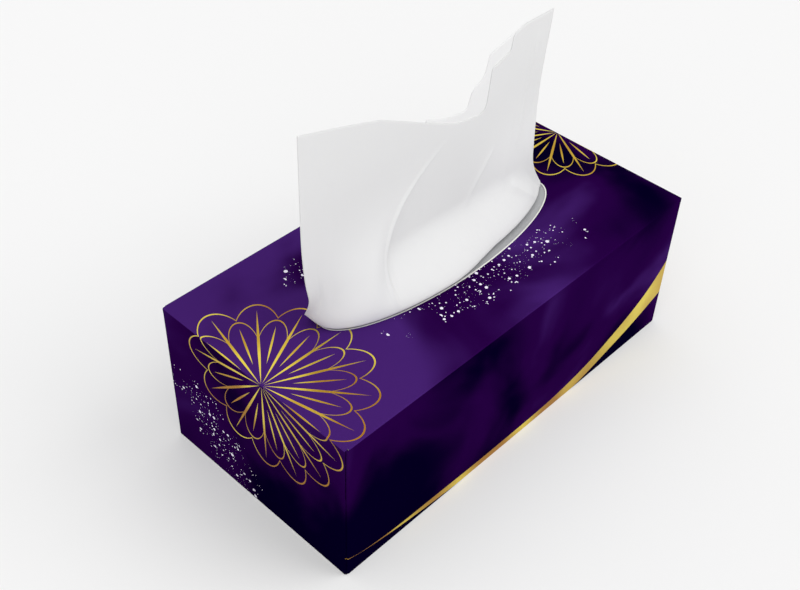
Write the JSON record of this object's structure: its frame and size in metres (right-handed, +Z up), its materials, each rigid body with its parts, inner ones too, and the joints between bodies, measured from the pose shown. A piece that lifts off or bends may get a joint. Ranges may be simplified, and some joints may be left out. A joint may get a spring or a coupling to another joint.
{
  "type": "tissue box",
  "caption": "Flat printed carton of facial tissues with a long oval mouth, a slit film behind it and the top sheet standing out ready to be pulled.",
  "frame": {"origin": "centre of the carton's bottom panel, on its outer face", "axes": "+X along the carton's long side, +Y along its short side away from the long face that shows, +Z up out of the mouth"},
  "size_m": [0.238, 0.118, 0.1909],
  "materials": {
    "printed_paperboard": "satin",
    "clear_film": "gloss",
    "tissue_paper": "matt"
  },
  "bodies": {
    "root": {"carton": "printed_paperboard", "slit_film": "clear_film", "tissue_clip": "tissue_paper", "top_sheet": "tissue_paper"}
  },
  "joints": []
}
